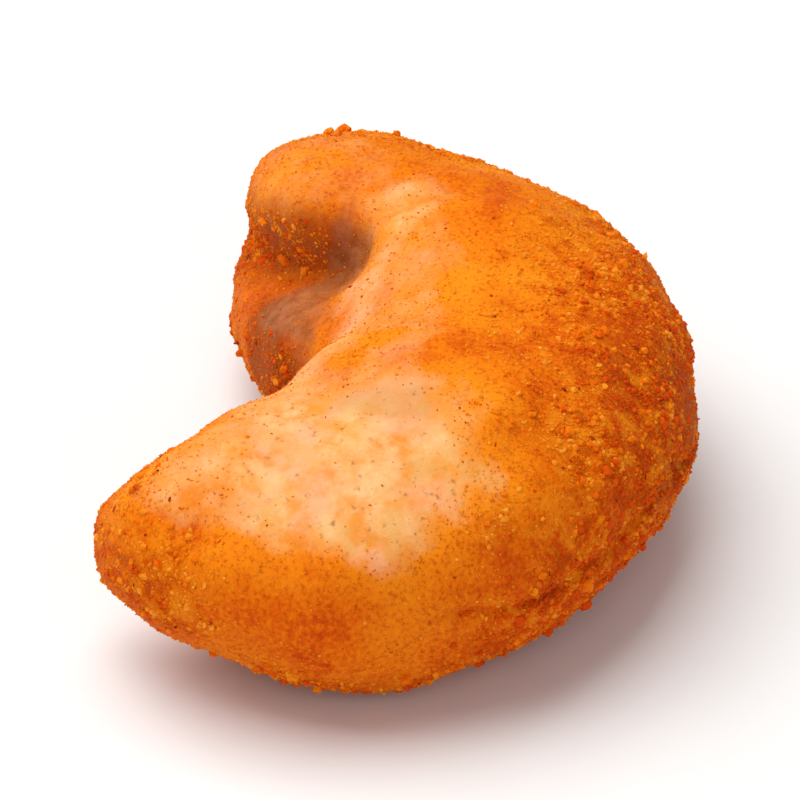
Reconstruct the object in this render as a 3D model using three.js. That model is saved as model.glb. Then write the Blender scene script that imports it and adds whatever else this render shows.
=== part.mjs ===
// A spiced cashew nut: one curved kernel lying on its side, with crumbs of spice baked onto its skin.
// Millimetres, +Z up. X runs along the nut, the hollow of its curve opens towards -Y, the blunt arm
// is on the -X side and the slim arm on the +X side. The nut rests on the plane z = 0.
import * as THREE from "three";
import { mergeVertices } from "three/addons/utils/BufferGeometryUtils.js";

const { clamp, degToRad, lerp, smoothstep } = THREE.MathUtils;

// Driving dimensions of the kernel
const BEND_LENGTH = 15.0; // between the middles of the two arms, along X
const BEND_RISE = 7.1; // from the middle of the bend to the middle of the back, along Y
const BLUNT_TIP = degToRad(-105); // where the blunt arm ends, round the bend from the back
const SLIM_TIP = degToRad(117.5); // where the slim arm ends
const BODY_WIDTH = 11.2; // from the back to the hollow
const BODY_THICKNESS = 8.0; // from the resting side to the upper side
const BLUNT_CAP = 0.18; // share of the length that rounds off the blunt arm
const BLUNT_SQUARENESS = 2.6; // 2 is a round cap, more is a flatter one
const SLIM_TAPER_FROM = 0.59; // share of the length where the slim arm starts to thin
const SLIM_TAPER_CURVE = 2.25;
const SLIM_WIDTH_SHARPNESS = 0.78; // 0.5 is a round tip, 1 a pointed one
const SLIM_THICKNESS_SHARPNESS = 0.6;
const BLUNT_MIDDLE = 0.16; // shares of the length where the caps of the two arms have their middles
const SLIM_MIDDLE = 0.94;

// How it rests: both tips lift off the surface, and three low places carry it
const BLUNT_LIFT = 2.0;
const SLIM_LIFT = 2.8;
const SLIM_LIFT_FROM = 0.7; // share of the length
const SLIM_LIFT_CURVE = 1.6;
const ARCH_LIFT = 0.25; // between the low places
const FIRST_LOW_PLACE = 0.15; // share of the length
const LOW_PLACE_SPACING = 0.3;
const RESTING_DEPTH = 0.12; // worn flat at each low place

// Lines drawn on the skin: each point has a share of the length, an angle in degrees round the section,
// and the height or depth and the half width of the ridge or groove that follows the line.
const CLEFT = [ // where the two seed leaves part, over the blunt tip and into the bend
  { share: 0.03, round: 5, depth: 0.1, halfWidth: 0.8 },
  { share: 0.007, round: 25, depth: 0.7, halfWidth: 1.2 },
  { share: 0.005, round: 90, depth: 1.2, halfWidth: 1.5 },
  { share: 0.02, round: 132, depth: 1.8, halfWidth: 1.8 },
  { share: 0.07, round: 141, depth: 2.3, halfWidth: 2.0 },
  { share: 0.14, round: 136, depth: 2.2, halfWidth: 2.0 },
  { share: 0.2, round: 128, depth: 1.3, halfWidth: 1.7 },
  { share: 0.25, round: 124, depth: 0.3, halfWidth: 1.3 },
];
const LOWER_LOBE = [ // the lower seed leaf, which stands out further at the blunt tip
  { share: 0.03, round: 270, depth: 0.25, halfWidth: 2.4 },
  { share: 0.03, round: 215, depth: 0.4, halfWidth: 2.4 },
  { share: 0.1, round: 212, depth: 0.2, halfWidth: 2.2 },
];
const SEAM = [0.05, 0.25, 0.5, 0.75, 0.97].map((share) => ({ // between the seed leaves, along the back
  share,
  round: 0,
  depth: 0.15,
  halfWidth: 0.7,
}));
const LINE_STEPS = 80;

// Crumbs of spice, larger than life: low domes all over the skin, but for the bare patch on the slim arm
const CRUMBS = 360;
const CRUMB_RADIUS = [0.7, 1.05];
const CRUMB_HEIGHT = [0.18, 0.32];
const CRUMB_SEED = 41;
const BARE_PATCH = { share: 0.76, round: 80, radius: 3.2 };
const BARE_CLEFT = 0.3; // no crumbs lie where the cleft is deeper than this
const BARE_HOLLOW = { to: 0.74, halfAngle: 42 }; // nor in the hollow of the bend, up to that share

// Faceting
const RINGS = 92; // along the nut
const SIDES = 56; // round each ring
const LENGTH_STEPS = 2000; // for measuring the length of the upper side
const MERGE_TOLERANCE = 1e-4;

// How full the section is at a share of the length: 1 along the body, 0 at both tips.
function fullness(share, slimSharpness) {
  const blunt = Math.max(0, 1 - share / BLUNT_CAP);
  const slim = Math.max(0, (share - SLIM_TAPER_FROM) / (1 - SLIM_TAPER_FROM));
  const bluntCap = (1 - blunt ** BLUNT_SQUARENESS) ** (1 / BLUNT_SQUARENESS);
  return bluntCap * (1 - slim ** SLIM_TAPER_CURVE) ** slimSharpness;
}

const halfWidth = (share) => (BODY_WIDTH / 2) * fullness(share, SLIM_WIDTH_SHARPNESS);
const halfThickness = (share) => (BODY_THICKNESS / 2) * fullness(share, SLIM_THICKNESS_SHARPNESS);

// How far the underside of the nut is from the surface it lies on.
function undersideHeight(share) {
  const bluntLift = BLUNT_LIFT * Math.max(0, 1 - share / BLUNT_CAP) ** 2;
  const alongSlimTip = Math.max(0, (share - SLIM_LIFT_FROM) / (1 - SLIM_LIFT_FROM));
  const slimLift = SLIM_LIFT * alongSlimTip ** SLIM_LIFT_CURVE;
  const arch = (1 - Math.cos((2 * Math.PI * (share - FIRST_LOW_PLACE)) / LOW_PLACE_SPACING)) / 2;
  return bluntLift + slimLift + ARCH_LIFT * arch - RESTING_DEPTH;
}

// The middle of the section at a share of the length.
function sectionMiddle(share) {
  const turn = lerp(BLUNT_TIP, SLIM_TIP, share);
  const height = undersideHeight(share) + halfThickness(share);
  return new THREE.Vector3((BEND_LENGTH / 2) * Math.sin(turn), BEND_RISE * Math.cos(turn), height);
}

// A point of the smooth kernel. round is the angle round the section, from the back over the upper side.
function kernelPoint(share, round) {
  const turn = lerp(BLUNT_TIP, SLIM_TIP, share);
  const toBack = new THREE.Vector3(BEND_RISE * Math.sin(turn), (BEND_LENGTH / 2) * Math.cos(turn), 0);
  const offset = toBack.setLength(halfWidth(share) * Math.cos(round));
  offset.z = halfThickness(share) * Math.sin(round);
  return sectionMiddle(share).add(offset);
}

// A ridge or groove along a line on the kernel, as a function that gives its size at any point.
function alongLine(line) {
  const path = new THREE.CatmullRomCurve3(line.map((at) => kernelPoint(at.share, degToRad(at.round))));
  const size = new THREE.CatmullRomCurve3(line.map((at) => new THREE.Vector3(at.depth, at.halfWidth, 0)));
  const places = path.getPoints(LINE_STEPS);
  const sizes = size.getPoints(LINE_STEPS);
  return (point) => {
    let depth = 0;
    places.forEach((place, i) => {
      const shape = 1 - smoothstep(point.distanceTo(place), 0, sizes[i].y);
      depth = Math.max(depth, sizes[i].x * shape);
    });
    return depth;
  };
}

// A repeatable source of numbers from 0 to 1.
function seededRandom(seed) {
  let state = seed;
  return () => {
    state = (state + 0x6d2b79f5) | 0;
    let mixed = Math.imul(state ^ (state >>> 15), 1 | state);
    mixed = (mixed + Math.imul(mixed ^ (mixed >>> 7), 61 | mixed)) ^ mixed;
    return ((mixed ^ (mixed >>> 14)) >>> 0) / 4294967296;
  };
}

// The spice crumbs, as a function that gives their height at any point.
function spiceCrumbs(cleft) {
  const random = seededRandom(CRUMB_SEED);
  const bareMiddle = kernelPoint(BARE_PATCH.share, degToRad(BARE_PATCH.round));
  const crumbs = [];
  while (crumbs.length < CRUMBS) {
    const share = random();
    const round = 360 * random();
    const place = kernelPoint(share, degToRad(round));
    const radius = lerp(...CRUMB_RADIUS, random());
    const height = lerp(...CRUMB_HEIGHT, random());
    const drawn = random() < fullness(share, SLIM_WIDTH_SHARPNESS);
    const onPatch = place.distanceTo(bareMiddle) < BARE_PATCH.radius;
    const inHollow = share < BARE_HOLLOW.to && Math.abs(round - 180) < BARE_HOLLOW.halfAngle;
    const inCleft = cleft(place) > BARE_CLEFT;
    if (drawn && !onPatch && !inHollow && !inCleft) crumbs.push({ place, radius, height });
  }
  return (point) => {
    let height = 0;
    for (const crumb of crumbs) {
      const away = point.distanceTo(crumb.place) / crumb.radius;
      height = Math.max(height, crumb.height * (1 - away * away));
    }
    return height;
  };
}

// The line over the upper side from tip to tip, which spaces the rings evenly.
class UpperLine extends THREE.Curve {
  arcLengthDivisions = LENGTH_STEPS;

  getPoint(share) {
    return kernelPoint(share, Math.PI / 2);
  }
}

// The kernel: a ball whose rings are carried along the bend, with its grooves cut in and its crumbs raised
// towards or away from its middle, and its low places worn flat.
function spicedKernel() {
  const geometry = new THREE.SphereGeometry(1, SIDES, RINGS);
  geometry.deleteAttribute("normal");
  geometry.deleteAttribute("uv");
  const kernel = mergeVertices(geometry, MERGE_TOLERANCE);
  const position = kernel.getAttribute("position");
  const upperLine = new UpperLine();
  const cleft = alongLine(CLEFT);
  const lobe = alongLine(LOWER_LOBE);
  const seam = alongLine(SEAM);
  const crumbs = spiceCrumbs(cleft);
  const onBall = new THREE.Vector3();
  for (let i = 0; i < position.count; i++) {
    onBall.fromBufferAttribute(position, i);
    const share = upperLine.getUtoTmapping(Math.acos(clamp(onBall.y, -1, 1)) / Math.PI);
    const point = kernelPoint(share, Math.atan2(onBall.z, onBall.x));
    const middle = sectionMiddle(clamp(share, BLUNT_MIDDLE, SLIM_MIDDLE));
    const raised = crumbs(point) + lobe(point) - cleft(point) - seam(point);
    point.addScaledVector(point.clone().sub(middle).normalize(), raised);
    position.setXYZ(i, point.x, point.y, Math.max(point.z, 0));
  }
  kernel.computeBoundingBox();
  const boxMiddle = kernel.boundingBox.getCenter(new THREE.Vector3());
  kernel.translate(-boxMiddle.x, -boxMiddle.y, 0);
  kernel.computeVertexNormals();
  return kernel;
}

const spicedSkin = new THREE.MeshStandardMaterial({ color: 0xd9772a, roughness: 0.75, metalness: 0 });
const nut = new THREE.Mesh(spicedKernel(), spicedSkin);
nut.name = "cashew_nut";

const part = new THREE.Group();
part.name = "spiced_cashew_nut";
part.add(nut);

export default part;
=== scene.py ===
import math

import bmesh
import bpy
import numpy as np
from mathutils import Matrix, Vector, noise


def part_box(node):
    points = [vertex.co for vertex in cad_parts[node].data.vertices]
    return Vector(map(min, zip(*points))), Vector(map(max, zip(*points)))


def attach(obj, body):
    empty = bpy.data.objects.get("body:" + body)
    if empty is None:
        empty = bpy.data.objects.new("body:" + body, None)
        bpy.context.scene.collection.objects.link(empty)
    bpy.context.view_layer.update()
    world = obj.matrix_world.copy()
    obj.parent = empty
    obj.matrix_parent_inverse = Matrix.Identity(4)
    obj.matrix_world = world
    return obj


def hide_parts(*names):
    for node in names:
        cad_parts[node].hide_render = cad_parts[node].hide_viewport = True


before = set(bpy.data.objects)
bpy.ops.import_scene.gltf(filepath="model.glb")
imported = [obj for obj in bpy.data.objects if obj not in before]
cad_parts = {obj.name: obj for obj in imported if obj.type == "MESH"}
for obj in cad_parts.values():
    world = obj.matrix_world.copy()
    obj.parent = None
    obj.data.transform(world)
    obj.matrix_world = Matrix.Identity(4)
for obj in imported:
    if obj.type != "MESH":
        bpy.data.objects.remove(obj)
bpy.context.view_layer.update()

# The kernel: the firm, pale flesh of one roasted cashew, bent like a kidney and a little open at its
# blunt tip, where its two seed leaves part. A dry film of ground spice is baked onto its skin, apart
# from a patch on the slim arm and the inner rim of the bend, where the flesh shows through.
MM = 0.001
SKIN_QUAD = 0.112  # mm, edge of the even quads that carry the fine relief
SOFTENING = 150  # passes that melt the coarse relief into the kernel's own form
CREASE_SOFTENING = 24  # passes round the cleft, which keeps its edges
low_corner, high_corner = (np.array(corner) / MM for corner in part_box("cashew_nut"))


def at(across, depth, height):
    """A place in millimetres, from shares of the nut's box."""
    return low_corner + (high_corner - low_corner) * np.array([across, depth, height])


def even_skin(node):
    """The node's surface as an even mesh of small quads, in millimetres."""
    block = bpy.data.objects.new("skin_block", node.data.copy())
    block.data.transform(Matrix.Scale(1 / MM, 4))
    bpy.context.scene.collection.objects.link(block)
    quads = block.modifiers.new("even_quads", "REMESH")
    quads.mode = "VOXEL"
    quads.voxel_size = SKIN_QUAD
    shape = block.evaluated_get(bpy.context.evaluated_depsgraph_get())
    skin = bpy.data.meshes.new_from_object(shape)
    bpy.data.objects.remove(block)
    return skin


def read(items, name, width, kind=np.float64):
    """One property of all the vertices, edges or loops of a mesh, as rows of that width."""
    each = np.size(getattr(items[0], name))
    values = np.empty(len(items) * each, kind)
    items.foreach_get(name, values)
    return values.reshape(-1, width)


def relaxed(points, edges, passes):
    """The points, each moved halfway to the mean of its neighbours, several times over."""
    here = np.concatenate([edges[:, 0], edges[:, 1]])
    there = np.concatenate([edges[:, 1], edges[:, 0]])
    count = np.bincount(here, minlength=len(points))[:, None]
    for _ in range(passes):
        total = [np.bincount(here, points[there, axis], len(points)) for axis in range(3)]
        points = (points + np.stack(total, 1) / count) / 2
    return points


def outward_of(points, quads):
    """The direction straight out of the skin at each point."""
    corners = points[quads]
    facing = np.cross(corners[:, 2] - corners[:, 0], corners[:, 3] - corners[:, 1])
    total = np.zeros_like(points)
    for corner in range(4):
        for axis in range(3):
            total[:, axis] += np.bincount(quads[:, corner], facing[:, axis], len(points))
    return total / np.linalg.norm(total, axis=1)[:, None]


def ease(values, start, end):
    """0 before start, 1 after end, and a smooth step between them."""
    share = np.clip((values - start) / (end - start), 0, 1)
    return share * share * (3 - 2 * share)


skin_mesh = even_skin(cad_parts["cashew_nut"])
coarse = read(skin_mesh.vertices, "co", 3)
edges = read(skin_mesh.edges, "vertices", 2, np.int32)
quads = read(skin_mesh.loops, "vertex_index", 4, np.int32)

CLEFT_MIDDLE = at(0.27, 0.205, 0.63)
CREASED_REACH = (2.9, 5.2)  # mm from the middle of the cleft: edges stay within the first of these
melted = relaxed(coarse, edges, SOFTENING)
smooth = 2 * melted - relaxed(melted, edges, SOFTENING)  # a second melting undoes the first one's shrinking
creased = relaxed(coarse, edges, CREASE_SOFTENING)
smoothness = ease(np.linalg.norm(coarse - CLEFT_MIDDLE, axis=1), *CREASED_REACH)[:, None]
form = smoothness * smooth + (1 - smoothness) * creased
outward = outward_of(form, quads)


def waves(size, shift):
    """Smooth noise over the form, from -1 to 1, with lumps about that many millimetres across."""
    return np.array([noise.noise(place) for place in (form / size + shift).tolist()])


PEBBLE_SPREAD = 7.31  # sets neighbouring pebbles well apart in the noise that numbers them


def pebbles(size, shift):
    """Rounded pebbles about that many millimetres across: their height, and a number for each pebble."""
    heights = np.empty(len(form))
    numbers = np.empty(len(form))
    for i, place in enumerate((form / size + shift).tolist()):
        distances, middles = noise.voronoi(place)
        heights[i] = distances[1] - distances[0]
        numbers[i] = noise.noise(middles[0] * PEBBLE_SPREAD)
    return np.clip(heights, 0, 1), numbers


LOBE_SIZE = 1.9  # mm, of the lobes and the finer frays along the edge of every place on the skin
FRAY_SIZE = 0.7
FRAY_SHARE = 0.6
ragged = waves(LOBE_SIZE, shift=3.1) + FRAY_SHARE * waves(FRAY_SIZE, shift=9.4)


def spot(middle, half_size):
    """How far each point is from a place, in shares of the spot's half size in mm along each axis."""
    return np.linalg.norm((form - middle) / np.array(half_size), axis=1)


def line(places, half_width):
    """How far each point is from a line through those places, in shares of its half width in mm."""
    gaps = []
    for start, end in zip(places, places[1:]):
        run = end - start
        share = np.clip((form - start) @ run / (run @ run), 0, 1)
        gaps.append(np.linalg.norm(form - start - share[:, None] * run, axis=1))
    return np.min(gaps, axis=0) / half_width


def within(distance, inner, outer, raggedness):
    """1 up to the inner distance, 0 past the outer one, with a ragged edge between them."""
    return 1 - ease(distance + raggedness * ragged, inner, outer)


# Where the spice has rubbed off, and a painted highlight on the upper leaf, with how bare each place looks:
# 0 for a full coat, 1 for plain flesh
PATCH = at(0.85, 0.47, 0.87)
PATCH_HALF_SIZE = (3.9, 3.9, 2.5)
BEND_RIM = [
    at(0.3, 0.43, 0.99),
    at(0.39, 0.41, 0.91),
    at(0.46, 0.39, 0.85),
    at(0.56, 0.36, 0.8),
    at(0.7, 0.33, 0.84),
]
BEND_RIM_WEAR = 0.66
ARM_RIM = [at(0.7, 0.33, 0.84), at(0.78, 0.3, 0.86), at(0.83, 0.25, 0.85), at(0.89, 0.18, 0.79)]
ARM_RIM_WEAR = 0.6
UPPER_SIDE = at(0.5, 0.45, 0.94)
UPPER_SIDE_WEAR = 0.4
NECK = at(0.64, 0.43, 0.93)
NECK_WEAR = 0.42
UPPER_LEAF = at(0.2, 0.24, 0.93)
# The upper leaf faces the window: its pale flesh is a painted highlight
UPPER_LEAF_HIGHLIGHT = 0.24
from_patch = spot(PATCH, PATCH_HALF_SIZE)
patch = within(from_patch, inner=0.62, outer=1.14, raggedness=0.2)
fringe = within(from_patch, inner=0.9, outer=1.4, raggedness=0.2)
bend_rim = within(line(BEND_RIM, half_width=1.1), inner=0.2, outer=1.6, raggedness=0.6)
arm_rim = within(line(ARM_RIM, half_width=1.4), inner=0.4, outer=1.3, raggedness=0.4)
upper_side = within(spot(UPPER_SIDE, half_size=(5.2, 2.1, 2.0)), inner=0.5, outer=1.2, raggedness=0.3)
neck = within(spot(NECK, half_size=(3.2, 2.2, 2.0)), inner=0.5, outer=1.2, raggedness=0.35)
upper_leaf = within(spot(UPPER_LEAF, half_size=(4.2, 3.2, 2.4)), inner=0.4, outer=1.2, raggedness=0.3)
worn_and_highlit = [
    patch,
    BEND_RIM_WEAR * bend_rim,
    ARM_RIM_WEAR * arm_rim,
    UPPER_SIDE_WEAR * upper_side,
    NECK_WEAR * neck,
    UPPER_LEAF_HIGHLIGHT * upper_leaf,
]

# Dabs of spice that still stick to the worn places, and a smear of darker toast on the patch
STUCK_SPICE = [
    at(0.617, 0.453, 0.946),
    at(0.656, 0.402, 0.892),
    at(0.521, 0.578, 0.955),
    at(0.48, 0.57, 0.965),
]
STUCK_HALF_SIZE = (0.9, 0.9, 0.9)
STUCK_COVER = 0.85
TOASTED_SMEAR = [at(0.735, 0.44, 0.905), at(0.75, 0.5, 0.92), at(0.755, 0.56, 0.945)]
from_stuck = np.min([spot(place, STUCK_HALF_SIZE) for place in STUCK_SPICE], axis=0)
stuck = within(from_stuck, inner=0.3, outer=1.2, raggedness=0.35)
bare_and_highlit = np.maximum.reduce(worn_and_highlit) * (1 - STUCK_COVER * stuck)
toasted = within(line(TOASTED_SMEAR, half_width=0.9), inner=0.2, outer=1.2, raggedness=0.35)

# Where the seed leaves part, and the dull inner skin beside that cleft, in the hollow
CLEFT = [at(0.155, 0.105, 0.49), at(0.24, 0.17, 0.64), at(0.29, 0.222, 0.72), at(0.32, 0.28, 0.76)]
INNER_SKIN = [at(0.335, 0.343, 0.76), at(0.36, 0.29, 0.66), at(0.38, 0.225, 0.61), at(0.45, 0.27, 0.65)]
INNER_SKIN_SHOWING = 0.85
UNDER_LEAF = at(0.43, 0.225, 0.43)
cleft = within(line(CLEFT, half_width=1.5), inner=0.2, outer=1.25, raggedness=0.2)
beside_cleft = within(line(INNER_SKIN, half_width=1.3), inner=0.4, outer=1.1, raggedness=0.45)
dull = INNER_SKIN_SHOWING * beside_cleft
under_leaf = within(spot(UNDER_LEAF, half_size=(3.2, 2.2, 2.0)), inner=0.6, outer=1.2, raggedness=0.3)
coated = (1 - bare_and_highlit) * (1 - dull)

# Where the coat is sandy: outside the bend, low down, at the slim tip, in the cleft and under its leaf.
# Each pair of distances in mm is where the sand starts and where it is full.
SANDY_BACK = (0.5, 5.5)
SANDY_BLUNT_END = (-7.5, -10.5)
SANDY_LOW_SIDE = (3.4, 1.2)
SLIM_TIP = at(0.92, 0.08, 0.62)
BLUNT_END_SAND = 0.9
LOW_SAND = 0.7
CLEFT_SAND = 0.8
LEAST_SAND = 0.3
SAND_PATCH_SIZE = 2.6
SAND_PATCH_EDGE = (-0.4, 0.3)  # of the noise that makes the patches
CLUMP_SIZE = 0.5
along_nut, to_back, upward = form.T
blunt_end = BLUNT_END_SAND * ease(along_nut, *SANDY_BLUNT_END)
outer_side = np.maximum(ease(to_back, *SANDY_BACK), blunt_end)
low_side = ease(upward, *SANDY_LOW_SIDE)
slim_tip = within(spot(SLIM_TIP, half_size=(4.5, 4.5, 4.5)), inner=0.33, outer=1.0, raggedness=0)
patchy = LEAST_SAND + (1 - LEAST_SAND) * ease(waves(SAND_PATCH_SIZE, shift=4.4), *SAND_PATCH_EDGE)
sandy_places = [outer_side, LOW_SAND * low_side, slim_tip, CLEFT_SAND * cleft, CLEFT_SAND * under_leaf]
sandy = coated * patchy * np.maximum.reduce(sandy_places)
clump = waves(CLUMP_SIZE, shift=5.5)

# The seam between the seed leaves, along the back, where the skin faces neither up nor down
SEAM_SLOPE = 0.1  # how far up or down the skin faces at the edges of the seam
SEAM_WANDER = 0.04  # how far it strays up and down, on the same scale
leaning = np.abs(outward[:, 2] + SEAM_WANDER * ragged)
seam = outer_side * (1 - ease(leaning, 0.0, SEAM_SLOPE))

# Where the film is redder and darker, from 0 to 1: on the back, away from the window, and low down, a
# redder roast with painted shade; in the cleft, under its leaf, in the seam and on a spot at the back,
# painted shade
RUDDY_SHADED_BACK = (2.0, 7.5)  # mm, where it starts and where it is full
RUDDY_SHADED_LOW_SIDE = (6.8, 3.0)
# A dark spot of painted shade on the back, the side away from the window
SHADE_SPOT_PLACE = at(0.535, 0.967, 0.63)
BLOTCH_SIZE = 3.3
BACK_ROAST_AND_SHADE = 0.8  # 1 is the reddest
LOW_SIDE_ROAST_AND_SHADE = 0.6
SPOT_SHADE = 0.5
BLOTCH_ROAST = 0.2
shade_spot = within(spot(SHADE_SPOT_PLACE, half_size=(5.0, 2.8, 2.9)), inner=0.3, outer=1.2, raggedness=0.2)
roast_and_shade = BACK_ROAST_AND_SHADE * ease(to_back, *RUDDY_SHADED_BACK) + LOW_SIDE_ROAST_AND_SHADE * ease(upward, *RUDDY_SHADED_LOW_SIDE)
roast_and_shade += SPOT_SHADE * (cleft + shade_spot + seam) + under_leaf + BLOTCH_ROAST * waves(BLOTCH_SIZE, shift=7.7)
ruddy_and_shade = np.clip(roast_and_shade, 0, 1)

# The relief: heights, depths and sizes in mm. Each edge is where the noise that draws a form starts to
# show it, and where it shows in full.
SWELL_HEIGHT = 0.1
SWELL_SIZE = 5.0
RIPPLE_HEIGHT = 0.05
RIPPLE_SIZE = 2.2
FILM_HEIGHT = 0.04
LUMP_HEIGHT = 0.05
LUMP_SIZE = 1.5
LUMP_EDGE = (-0.2, 0.4)
GRIT_HEIGHT = 0.085
GRIT_SIZE = 0.36
GRIT_EDGE = (-0.45, 0.25)
DUST_HEIGHT = 0.012
DUST_SIZE = 0.34
POWDER_HEIGHT = 0.02
POWDER_SIZE = 0.8
PORE_DEPTH = 0.03
PORE_SIZE = 0.5
PORE_EDGE = (0.25, 0.6)
WRINKLE_DEPTH = 0.06
WRINKLE_SIZE = 0.9
WRINKLE_EDGE = (0.22, 0.02)
CRINKLE_SIZE = 0.35
CRINKLE_SHARE = 0.4
SEAM_DEPTH = 0.24
swell = SWELL_HEIGHT * waves(SWELL_SIZE, shift=1.3) + RIPPLE_HEIGHT * waves(RIPPLE_SIZE, shift=6.6)
lumps, lump_number = pebbles(LUMP_SIZE, shift=2.7)
grit, grit_number = pebbles(GRIT_SIZE, shift=5.2)
caked = LUMP_HEIGHT * lumps * ease(lump_number, *LUMP_EDGE)
caked += GRIT_HEIGHT * sandy * grit * ease(grit_number, *GRIT_EDGE)
powder = DUST_HEIGHT * waves(DUST_SIZE, shift=2.2) + POWDER_HEIGHT * waves(POWDER_SIZE, shift=3.7)
pores = -PORE_DEPTH * ease(waves(PORE_SIZE, shift=8.8), *PORE_EDGE)
folds = np.abs(waves(WRINKLE_SIZE, shift=4.6) + CRINKLE_SHARE * waves(CRINKLE_SIZE, shift=1.9))
wrinkles = -WRINKLE_DEPTH * ease(folds, *WRINKLE_EDGE)
relief = swell - SEAM_DEPTH * seam + coated * (FILM_HEIGHT + caked + powder)
relief += bare_and_highlit * pores + dull * (pores + wrinkles)
skin = form + outward * relief[:, None]
skin[:, 2] = np.maximum(skin[:, 2], 0.0)

skin_mesh.vertices.foreach_set("co", (skin * MM).astype(np.float32).ravel())
skin_mesh.polygons.foreach_set("use_smooth", np.ones(len(quads), bool))
WORN_FRINGE = 0.8
# How far painted shade darkens the cleft; under its leaf it darkens in full
CLEFT_SHADE = 0.9
layers = {
    "bare_and_highlit": bare_and_highlit,
    "fringe": np.maximum.reduce([fringe, WORN_FRINGE * bare_and_highlit, stuck]),
    "toasted": toasted,
    "dull": dull,
    "cleft": np.maximum(CLEFT_SHADE * cleft, under_leaf),
    "ruddy_and_shade": ruddy_and_shade,
    "shade_spot": shade_spot,
    "clump": sandy * clump,
    "caked": caked / (LUMP_HEIGHT + GRIT_HEIGHT),
}
for name, values in layers.items():
    layer = skin_mesh.attributes.new(name, "FLOAT", "POINT")
    layer.data.foreach_set("value", values.astype(np.float32))
skin_mesh.update()
kernel = bpy.data.objects.new("kernel", skin_mesh)
bpy.context.scene.collection.objects.link(kernel)


def new_material(name):
    """A material with its node tree and its surface shader."""
    material = bpy.data.materials.new(name)
    material.use_nodes = True
    return material, material.node_tree, material.node_tree.nodes["Principled BSDF"]


def node(tree, kind, inputs=None, **settings):
    """A shader node, with its settings and the values or links of its inputs."""
    made = tree.nodes.new("ShaderNode" + kind)
    for name, value in settings.items():
        setattr(made, name, value)
    for name, value in (inputs or {}).items():
        if isinstance(value, bpy.types.NodeSocket):
            tree.links.new(value, made.inputs[name])
        else:
            made.inputs[name].default_value = value
    return made


def ramp(tree, value, *stops):
    """A colour for each value: stops are (place, colour)."""
    made = node(tree, "ValToRGB", {"Fac": value})
    slots = made.color_ramp.elements
    while len(slots) < len(stops):
        slots.new(0.5)
    for slot, (place, colour) in zip(slots, stops):
        slot.position = place
        slot.color = (*colour, 1)
    return made.outputs["Color"]


MIX_COLOURS = (6, 7)  # the colour inputs of a mix node, which share their names with its other inputs
MIX_RESULT = 2


def blend(tree, share, first, second):
    """Two colours, each a link or three numbers, mixed by a share that varies over the surface."""
    made = node(tree, "Mix", {"Factor": share}, data_type="RGBA")
    for slot, colour in zip(MIX_COLOURS, (first, second)):
        if isinstance(colour, bpy.types.NodeSocket):
            tree.links.new(colour, made.inputs[slot])
        else:
            made.inputs[slot].default_value = (*colour, 1)
    return made.outputs[MIX_RESULT]


def mottle(tree, size, detail=4.0, roughness=0.55, shift=0.0):
    """Noise fixed to the piece, with lumps about that many millimetres across."""
    place = node(tree, "TexCoord").outputs["Object"]
    moved = node(tree, "Mapping", {"Vector": place, "Location": (shift, shift, shift)}).outputs["Vector"]
    inputs = {"Vector": moved, "Scale": 1 / (size * MM), "Detail": detail, "Roughness": roughness}
    return node(tree, "TexNoise", inputs).outputs["Fac"]


def layer_value(tree, name):
    """A number that the mesh carries at each vertex."""
    return node(tree, "Attribute", attribute_name=name).outputs["Fac"]


def rise(tree, value, start, end, least=0.0, most=1.0):
    """The least amount at start, the most at end, and a straight run between them."""
    inputs = {"Value": value, "From Min": start, "From Max": end, "To Min": least, "To Max": most}
    return node(tree, "MapRange", inputs).outputs["Result"]


SPICE_RED = (0.6, 0.06, 0.0008)
SPICE_ORANGE = (0.78, 0.158, 0.001)
SPICE_AMBER = (0.86, 0.255, 0.006)
SPICE_DARK = (0.36, 0.04, 0.001)


def spice_film(tree, dust):
    """The baked film: blotched orange, paler where the coat ends, dusty all over; redder and darker on the
    back and low down by roast and painted shade, painted shade in the hollows, a painted highlight on caked
    tops.
    """
    blotches = mottle(tree, 2.38, detail=5)
    film = ramp(tree, blotches, (0.34, SPICE_RED), (0.48, SPICE_ORANGE), (0.72, SPICE_AMBER))
    film = blend(tree, rise(tree, layer_value(tree, "fringe"), 0, 1, most=0.7), film, SPICE_AMBER)
    # A redder roast and painted shade together, from the ruddy layer
    film = blend(tree, rise(tree, layer_value(tree, "ruddy_and_shade"), 0.1, 1, most=0.85), film, SPICE_RED)
    # The spot of painted shade on the back, in dark spice colour
    film = blend(tree, rise(tree, layer_value(tree, "shade_spot"), 0, 1, most=0.8), film, SPICE_DARK)
    film = blend(tree, rise(tree, dust, 0.48, 0.66, most=0.45), film, SPICE_AMBER)
    film = blend(tree, rise(tree, dust, 0.46, 0.34, most=0.45), film, SPICE_DARK)
    clumps = layer_value(tree, "clump")
    film = blend(tree, rise(tree, clumps, 0.05, 0.4, most=0.6), film, SPICE_AMBER)
    film = blend(tree, rise(tree, clumps, -0.05, -0.4, most=0.6), film, SPICE_DARK)
    # Paler amber on the high tops of the caked lumps and grit: a painted highlight
    return blend(tree, rise(tree, layer_value(tree, "caked"), 0.13, 0.8, most=0.4), film, SPICE_AMBER)


FLESH_TOAST = (0.76, 0.25, 0.04)
FLESH_PEACH = (0.82, 0.39, 0.14)
FLESH_CREAM = (0.86, 0.49, 0.21)
FLESH_PINK = (0.84, 0.4, 0.2)
FLESH_OLIVE = (0.74, 0.37, 0.1)
FLESH_BROWN = (0.58, 0.26, 0.075)
FLESH_SPECK = (0.38, 0.13, 0.03)


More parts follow.
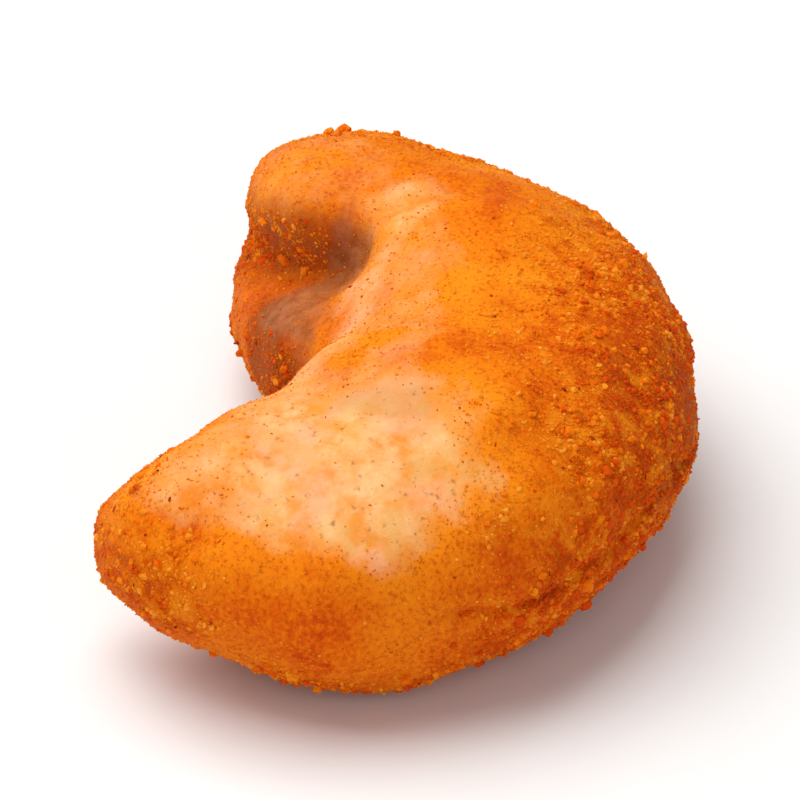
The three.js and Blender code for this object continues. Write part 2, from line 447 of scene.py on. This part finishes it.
def bare_flesh(tree):
    """The roasted flesh: cream to peach, with pink and olive tints, a trace of spice and brown specks."""
    toast = mottle(tree, 1.25, detail=6, roughness=0.65, shift=0.4)
    flesh = ramp(tree, toast, (0.38, FLESH_TOAST), (0.47, FLESH_PEACH), (0.6, FLESH_CREAM))
    pink = mottle(tree, 1.92, detail=3, roughness=0.5, shift=1.7)
    flesh = blend(tree, rise(tree, pink, 0.46, 0.58, most=0.85), flesh, FLESH_PINK)
    olive = mottle(tree, 1.56, shift=2.9)
    flesh = blend(tree, rise(tree, olive, 0.47, 0.6, most=0.7), flesh, FLESH_OLIVE)
    trace = mottle(tree, 0.91, detail=5, roughness=0.68, shift=1.1)
    flesh = blend(tree, rise(tree, trace, 0.46, 0.66, most=0.65), flesh, SPICE_AMBER)
    flesh = blend(tree, rise(tree, layer_value(tree, "toasted"), 0, 1, most=0.55), flesh, FLESH_BROWN)
    specks = mottle(tree, 0.263, detail=3, roughness=0.5, shift=0.7)
    return blend(tree, rise(tree, specks, 0.62, 0.74, most=0.7), flesh, FLESH_SPECK)


INNER_MAUVE = (0.39, 0.15, 0.065)
INNER_SHADE = (0.25, 0.072, 0.02)
# Brown of the painted shade in the cleft and under its leaf
CLEFT_SHADE_BROWN = (0.32, 0.064, 0.006)
LIGHT_DEPTH = 0.5  # mm that light goes into the flesh
LIGHT_TINT = (1.0, 0.3, 0.08)  # how far its red, green and blue go, in shares of that depth
LIGHT_SHARE = 0.25
SHEEN = 0.04  # low, because the coat is dry
GRAIN_BUMP = 0.6
GRAIN_DEPTH = 0.05  # mm
roasted, tree, shader = new_material("roasted_kernel")
dust = mottle(tree, 0.154, detail=3, roughness=0.6, shift=0.2)
broken = rise(tree, mottle(tree, 0.77, detail=6, roughness=0.7, shift=3.3), 0, 1, least=-0.4, most=0.4)
# Flesh shows where the spice is worn, and as a painted highlight on the upper leaf
worn_through_and_highlit = node(tree, "Math", {0: layer_value(tree, "bare_and_highlit"), 1: broken}, operation="ADD")
flesh_share = rise(tree, worn_through_and_highlit.outputs["Value"], 0.12, 0.86)
colour = blend(tree, flesh_share, spice_film(tree, dust), bare_flesh(tree))
# The cleft and the underside of its leaf, browned as painted shade
colour = blend(tree, rise(tree, layer_value(tree, "cleft"), 0, 1, most=0.88), colour, CLEFT_SHADE_BROWN)
skin_tone = mottle(tree, 0.667, detail=6, roughness=0.7, shift=0.9)
inner_skin = ramp(tree, skin_tone, (0.38, INNER_SHADE), (0.6, INNER_MAUVE))
colour = blend(tree, rise(tree, layer_value(tree, "dull"), 0, 1, most=0.9), colour, inner_skin)
tree.links.new(colour, shader.inputs["Base Color"])
tree.links.new(rise(tree, dust, 0.35, 0.65, least=0.5, most=0.72), shader.inputs["Roughness"])
grain = mottle(tree, 0.111, roughness=0.65, shift=0.5)
bump = node(tree, "Bump", {"Height": grain, "Strength": GRAIN_BUMP, "Distance": GRAIN_DEPTH * MM})
tree.links.new(bump.outputs["Normal"], shader.inputs["Normal"])
shader.inputs["Specular IOR Level"].default_value = SHEEN
shader.inputs["Subsurface Weight"].default_value = LIGHT_SHARE
shader.inputs["Subsurface Radius"].default_value = LIGHT_TINT
shader.inputs["Subsurface Scale"].default_value = LIGHT_DEPTH * MM
skin_mesh.materials.clear()
skin_mesh.materials.append(roasted)
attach(kernel, "root")
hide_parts("cashew_nut")

# The paprika: dried red pepper, ground to dust, powder and grit, and shaken over the oiled kernel. The
# roast set the grains partly into the film, loosely on the near flank and thickly on the outside of the
# bend and the slim tip, where some baked together into crumbs of crust.
GRAIN_SEED = 73
GRAIN_JITTER = (0.72, 1.25)  # how far a grain's corners lie from its middle, in shares of its half size
GRAIN_STRETCH = (0.8, 1.2)
GRAIN_TONE = (0.35, 1.15)  # from the reddest to the palest, before its place on the nut changes it
# Grains are redder where the ruddy layer carries painted shade
RUDDY_SHADE_TONE = 0.6
CLUMP_TONE = 0.8
GRAIN_TINT = (1.0, 0.4, 0.1)  # how far red, green and blue light go, in shares of the light depth
FLOOR_MARGIN = 0.35  # mm, no loose grains between the nut and what it lies on
draw = np.random.default_rng(GRAIN_SEED)
skin_outward = outward_of(skin, quads)


def cut_ball(cuts):
    """The corners and triangles that a grain is cut from: 8 triangles for no cuts, 20 for 1, 80 for 2."""
    ball = bmesh.new()
    if cuts:
        bmesh.ops.create_icosphere(ball, subdivisions=cuts, radius=1)
    else:
        bmesh.ops.create_uvsphere(ball, u_segments=4, v_segments=2, radius=1)
    corners = np.array([corner.co for corner in ball.verts])
    triangles = np.array([[corner.index for corner in face.verts] for face in ball.faces])
    ball.free()
    return corners, triangles


def random_turns(count):
    """That many rotations, each as a matrix."""
    axes, _ = np.linalg.qr(draw.normal(size=(count, 3, 3)))
    return axes * np.sign(np.linalg.det(axes))[:, None, None]


def scatter(name, material, count, density, half, spread, shape, sunk, cuts):
    """A piece of loose grains on the skin: half is their usual half size in mm, sunk how deep they sit."""
    chance = density * (skin[:, 2] > FLOOR_MARGIN)
    chosen = draw.choice(len(skin), count, replace=False, p=chance / chance.sum())
    halves = half * np.exp(spread * draw.normal(size=count))
    corners, triangles = cut_ball(cuts)
    jagged = corners * draw.uniform(*GRAIN_JITTER, (count, len(corners), 1))
    stretched = jagged * (np.array(shape) * draw.uniform(*GRAIN_STRETCH, (count, 1, 3)))
    turned = np.einsum("nij,nkj->nki", random_turns(count), stretched) * halves[:, None, None]
    up = skin_outward[chosen]
    slip = draw.uniform(-0.5, 0.5, (count, 3)) * SKIN_QUAD
    slip -= up * np.einsum("ij,ij->i", slip, up)[:, None]
    middles = skin[chosen] + slip + up * (halves * (1 - 2 * sunk))[:, None]
    places = (turned + middles[:, None]).reshape(-1, 3)
    faces = (triangles + np.arange(count)[:, None, None] * len(corners)).reshape(-1, 3)
    mesh = bpy.data.meshes.new(name)
    mesh.from_pydata((places * MM).tolist(), [], faces.tolist())
    tone = draw.uniform(*GRAIN_TONE, count) - RUDDY_SHADE_TONE * ruddy_and_shade[chosen] + CLUMP_TONE * clump[chosen]
    layer = mesh.attributes.new("tone", "FLOAT", "POINT")
    layer.data.foreach_set("value", np.repeat(np.clip(tone, 0, 1), len(corners)).astype(np.float32))
    mesh.materials.append(material)
    piece = bpy.data.objects.new(name, mesh)
    bpy.context.scene.collection.objects.link(piece)
    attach(piece, "root")


def grain_material(name, stops, roughness, light_depth):
    """Grains coloured by their tone, which carries painted shade from where they lie, and a little red
    mottling. light_depth is in mm.
    """
    material, tree, shader = new_material(name)
    tone = ramp(tree, layer_value(tree, "tone"), *stops)
    shade = rise(tree, mottle(tree, 0.143, detail=3), 0.35, 0.65, most=0.35)
    tree.links.new(blend(tree, shade, tone, SPICE_RED), shader.inputs["Base Color"])
    shader.inputs["Roughness"].default_value = roughness
    shader.inputs["Specular IOR Level"].default_value = SHEEN
    shader.inputs["Subsurface Weight"].default_value = LIGHT_SHARE
    shader.inputs["Subsurface Radius"].default_value = GRAIN_TINT
    shader.inputs["Subsurface Scale"].default_value = light_depth * MM
    return material


POWDER_SHAPE = (1.0, 0.9, 0.8)
GRIT_SHAPE = (1.0, 0.9, 0.75)
PAPRIKA_TONES = ((0.0, SPICE_RED), (0.5, SPICE_ORANGE), (1.0, SPICE_AMBER))
paprika = grain_material("paprika", PAPRIKA_TONES, roughness=0.6, light_depth=0.2)
THIN_COVER = 0.03  # of powder on the smooth coat, where a full sandy coat has 1
BARE_COVER = 0.01
DULL_COVER = 0.04
EVEN_PAPRIKA = 0.05
DULL_DUST = 0.5
EVEN_CRUMBS = 0.35
powder_cover = coated * (THIN_COVER + sandy) + BARE_COVER * bare_and_highlit + DULL_COVER * dull
grit_cover = coated * sandy**2
scatter(
    "paprika_dust", paprika, count=16000, density=coated + DULL_DUST * dull,
    half=0.03, spread=0.3, shape=POWDER_SHAPE, sunk=0.5, cuts=0,
)
scatter(
    "paprika_powder", paprika, count=24000, density=powder_cover + EVEN_PAPRIKA * coated,
    half=0.042, spread=0.3, shape=POWDER_SHAPE, sunk=0.58, cuts=0,
)
scatter(
    "paprika_grit", paprika, count=5000, density=grit_cover,
    half=0.08, spread=0.28, shape=GRIT_SHAPE, sunk=0.58, cuts=1,
)
scatter(
    "crust_crumbs", paprika, count=220, density=sandy * (EVEN_CRUMBS + low_side),
    half=0.14, spread=0.3, shape=GRIT_SHAPE, sunk=0.45, cuts=2,
)

# The turmeric: dried yellow root in the same spice mix, ground a little coarser than the paprika and a
# little glossier. Its pale grains lie among the red ones and make the coat look sandy.
PALE_TURMERIC = (0.9, 0.34, 0.03)
EVEN_TURMERIC = 0.01
TURMERIC_TONES = ((0.0, SPICE_RED), (0.5, SPICE_AMBER), (1.0, PALE_TURMERIC))
turmeric = grain_material("turmeric", TURMERIC_TONES, roughness=0.5, light_depth=0.25)
scatter(
    "turmeric_powder", turmeric, count=15000, density=powder_cover + EVEN_TURMERIC * coated,
    half=0.042, spread=0.35, shape=POWDER_SHAPE, sunk=0.56, cuts=0,
)
scatter(
    "turmeric_grit", turmeric, count=2400, density=grit_cover,
    half=0.1, spread=0.25, shape=GRIT_SHAPE, sunk=0.58, cuts=1,
)

# The chilli: a few flat flecks of dark dried skin in the mix. They show best where they stick to the
# bare flesh.
DRIED_CHILLI = (0.16, 0.02, 0.004)
FLAKE_SHAPE = (1.3, 0.8, 0.35)
BARE_FLECKS = 0.08
chilli = grain_material("chilli", ((0.0, DRIED_CHILLI), (1.0, SPICE_DARK)), roughness=0.55, light_depth=0.1)
scatter(
    "chilli_flecks", chilli, count=260, density=powder_cover + BARE_FLECKS * bare_and_highlit,
    half=0.055, spread=0.3, shape=FLAKE_SHAPE, sunk=0.5, cuts=1,
)

# The surface it lies on: a plain pale board, matt and very slightly mottled, with no edge in view. The
# nut rests on it by its own weight.
FLOOR_HALF = 0.6  # metres
FLOOR_DROP = 0.01 * MM  # keeps the board just clear of the nut's flat spots
BOARD_SHADE = (0.8, 0.795, 0.785)
BOARD_PALE = (0.84, 0.835, 0.825)
BOARD_ROUGHNESS = 0.8
floor_mesh = bpy.data.meshes.new("floor")
floor_signs = ((-1, -1), (1, -1), (1, 1), (-1, 1))
floor_corners = [(x * FLOOR_HALF, y * FLOOR_HALF, -FLOOR_DROP) for x, y in floor_signs]
floor_mesh.from_pydata(floor_corners, [], [(0, 1, 2, 3)])
floor = bpy.data.objects.new("floor", floor_mesh)
bpy.context.scene.collection.objects.link(floor)
board, tree, shader = new_material("pale_board")
board_tone = ramp(tree, mottle(tree, 11.1), (0.3, BOARD_SHADE), (0.7, BOARD_PALE))
tree.links.new(board_tone, shader.inputs["Base Color"])
shader.inputs["Roughness"].default_value = BOARD_ROUGHNESS
floor_mesh.materials.append(board)

# The camera and the light: a long lens looks down past the slim arm, so the bend opens to the left. One
# broad soft window hangs high on the left and a weak fill stands behind the camera, in a pale room.
VIEW_AZIMUTH = math.radians(99)
VIEW_ELEVATION = math.radians(31)
VIEW_WIDTH = 0.0235  # metres across the picture at the nut
LENS = 280  # millimetres, as is the sensor
SENSOR = 36
CLIP_START = 0.005  # metres
ROOM_COLOUR = (1.0, 0.99, 0.975, 1)
ROOM_STRENGTH = 0.32
right = Vector((math.cos(VIEW_AZIMUTH), math.sin(VIEW_AZIMUTH), 0))
level = Vector((math.sin(VIEW_AZIMUTH), -math.cos(VIEW_AZIMUTH), 0))
towards = level * math.cos(VIEW_ELEVATION) + Vector((0, 0, math.sin(VIEW_ELEVATION)))
aim = Vector()
for way in (right, towards.cross(right)):
    reach = skin @ np.array(way) * MM
    aim += way * (reach.min() + reach.max()) / 2
camera = bpy.data.objects.new("camera", bpy.data.cameras.new("camera"))
bpy.context.scene.collection.objects.link(camera)
camera.data.lens = LENS
camera.data.sensor_width = SENSOR
camera.data.clip_start = CLIP_START
camera.location = aim + towards * (VIEW_WIDTH * LENS / SENSOR)
camera.rotation_euler = towards.to_track_quat("Z", "Y").to_euler()
bpy.context.scene.camera = camera


def soft_light(name, rightward, up, nearer, distance, size, power):
    """A square lamp that faces the nut, in a direction given by its three parts from the camera's side."""
    lamp = bpy.data.lights.new(name, "AREA")
    lamp.size = size
    lamp.energy = power
    way = (right * rightward + Vector((0, 0, up)) + level * nearer).normalized()
    holder = bpy.data.objects.new(name, lamp)
    holder.location = way * distance
    holder.rotation_euler = way.to_track_quat("Z", "Y").to_euler()
    bpy.context.scene.collection.objects.link(holder)


soft_light("window", rightward=-0.35, up=1.0, nearer=-0.15, distance=0.3, size=0.32, power=1.15)
soft_light("fill", rightward=0.15, up=0.45, nearer=0.95, distance=0.4, size=0.35, power=0.5)
room = bpy.data.worlds.new("room")
room.use_nodes = True
room.node_tree.nodes["Background"].inputs["Color"].default_value = ROOM_COLOUR
room.node_tree.nodes["Background"].inputs["Strength"].default_value = ROOM_STRENGTH
bpy.context.scene.world = room
bpy.context.scene.view_settings.view_transform = "Standard"
